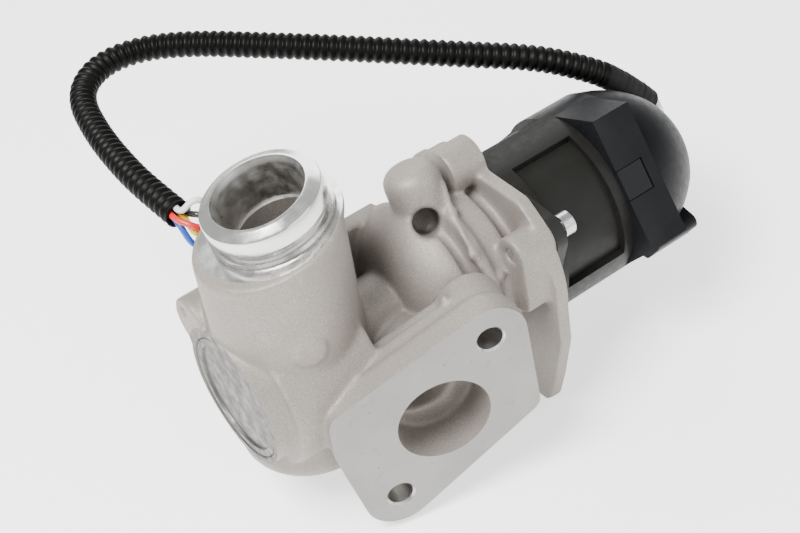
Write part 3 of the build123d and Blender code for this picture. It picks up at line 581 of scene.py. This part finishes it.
def casting_marks():
    """The parting rib, its knuckles and the ejector pad, as stock on the casting."""
    rib_r, knuckle_r, flange_knuckle_r, pad_r, pad_lift = 1.15, 2.3, 2.0, 5.5, 0.7
    rib = [
        (58.3, -0.2, 38.8), (55.8, -7.5, 30.6), (53.3, -16.0, 27.1), (52.9, -21.5, 22.0),
        (52.9, -25.1, 17.6)]
    marks = [bar(a, b, rib_r) for a, b in zip(rib, rib[1:])]
    marks += [ball(point, rib_r) for point in rib[2:4]]
    marks += [ball(rib[1], knuckle_r), ball(rib[3], knuckle_r)]
    flange_run = [(32.4, -32.1, 22.0), (58.8, -26.6, 12.5)]
    marks += [ball(point, flange_knuckle_r) for point in flange_run]
    pad_normal = Vector((-0.22, -0.97, 0)).normalized()
    pad_place = plane((-14.2, -23.3, 24.1), Z, pad_normal)
    marks.append(rod("stock", pad_place, pad_r, -2.5, pad_lift, segments=48))
    return marks


body = cad_copy("valve_housing")
extend_faces(body, at(*PORT), FLANGE_OUT, ALLOWANCE)
extend_faces(body, at(END_FACE_X, 0, 0), X, ALLOWANCE)
extend_faces(body, at(PLUG_FACE_X, 0, 0), -X, ALLOWANCE)
remesh(body)
# Fills the bore with metal, so that its tools leave an unbroken wall
bore_wall = [(10, -31), (17.6, -31), (17.6, -14), (23.5, -14), (23.5, 5), (10, 5)]
combine(body, "UNION", lathe("stock", SPIGOT_TOP, bore_wall, CAST, 64), *casting_marks())
remesh(body, EASING_PASSES)
body.data.materials.clear()
body.data.materials.append(CAST)
combine(body, "DIFFERENCE", *machining())
smooth(body.data, 32)
body.name = "valve_body_casting"
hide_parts("valve_housing")
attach(body, "valve_body")


# ---------------------------------------------------------------- finishes of the other pieces
FINISH = {
    "core_plug": PLUG, "valve_seat": STAINLESS, "poppet_valve": STAINLESS, "stem_bush": BRONZE,
    "stem_seal": RUBBER, "return_spring": STEEL, "spring_retainer": STEEL, "retainer_clip": STEEL,
    "drive_nut": ACETAL, "guide_bush": GREY, "planet_carrier": STEEL, "planet_gear_1": ACETAL,
    "planet_gear_2": ACETAL, "planet_gear_3": ACETAL, "ring_gear": GREY, "gear_plate": STEEL,
    "carrier_bush": BRONZE, "sun_pinion": BRASS, "armature_shaft": STEEL, "armature_core": STEEL,
    "armature_windings": COPPER, "commutator": COPPER, "sensor_magnet": MAGNET,
    "field_magnets": MAGNET, "flux_ring": DARK_STEEL, "motor_bulkhead": DARK_STEEL, "front_bush": BRONZE,
    "rear_bush": BRONZE, "brush_carrier": GREY, "carbon_brushes": CARBON, "actuator_housing": CAN,
    "actuator_gasket": GASKET, "cap_seal": RUBBER, "mounting_screws": STEEL, "end_cap": CAP, "cap_clips": CAP,
    "sensor_board": BOARD, "cable_gland": RUBBER, "connector_body": CAP, "contact_pins": BRASS,
    "connector_bracket": STEEL, "bracket_screw": STEEL,
    **{f"wire_{name}": material for name, material in WIRES.items()},
}
ROUNDED = ("actuator_housing", "end_cap", "connector_body", "cap_clips")
EDGE_RADIUS = 0.35 * MM
for node, material in FINISH.items():
    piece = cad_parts[node]
    piece.data.materials.clear()
    piece.data.materials.append(material)
    for slot in piece.material_slots:
        slot.material = material
    if node in ROUNDED:
        edge = piece.modifiers.new("rounded_edges", "BEVEL")
        edge.width, edge.segments, edge.limit_method = EDGE_RADIUS, 2, "ANGLE"
        edge.angle_limit, edge.harden_normals = radians(40), True


# ---------------------------------------------------------------- floor and light
low, high = cad_box
floor_mesh = bpy.data.meshes.new("floor")
reach, drop = 3.0, low[2] - 1 * MM
corners = [(-reach, -reach, drop), (reach, -reach, drop), (reach, reach, drop), (-reach, reach, drop)]
floor_mesh.from_pydata(corners, [], [(0, 1, 2, 3)])
floor_shader = Shader("floor", roughness=0.9, Emission_Color=(1, 1, 1, 1), Emission_Strength=1.2)
paper = floor_shader.mix(floor_shader.noise(300.0), (0.93, 0.93, 0.93), (0.96, 0.96, 0.96))
floor_shader.colour(paper)
floor = put("floor", floor_mesh, floor_shader.material)

world = bpy.data.worlds.new("studio")
world.use_nodes = True
world.node_tree.nodes["Background"].inputs["Color"].default_value = (1.0, 1.0, 1.0, 1)
world.node_tree.nodes["Background"].inputs["Strength"].default_value = 0.66
bpy.context.scene.world = world


def area_light(name, place, aim, size, power, tint=(1, 1, 1)):
    data = bpy.data.lights.new(name, "AREA")
    data.size, data.energy, data.color = size, power, tint
    light = bpy.data.objects.new(name, data)
    bpy.context.collection.objects.link(light)
    light.location = place
    light.rotation_euler = (Vector(aim) - Vector(place)).to_track_quat("-Z", "Y").to_euler()
    return light


middle = (Vector(low) + Vector(high)) / 2
area_light("key", middle + Vector((-0.45, -0.15, 0.75)), middle, 0.4, 19)
area_light("fill", middle + Vector((0.25, -0.8, 0.45)), middle, 0.8, 4)
area_light("back", middle + Vector((0.3, 0.7, 0.5)), middle, 0.6, 5)
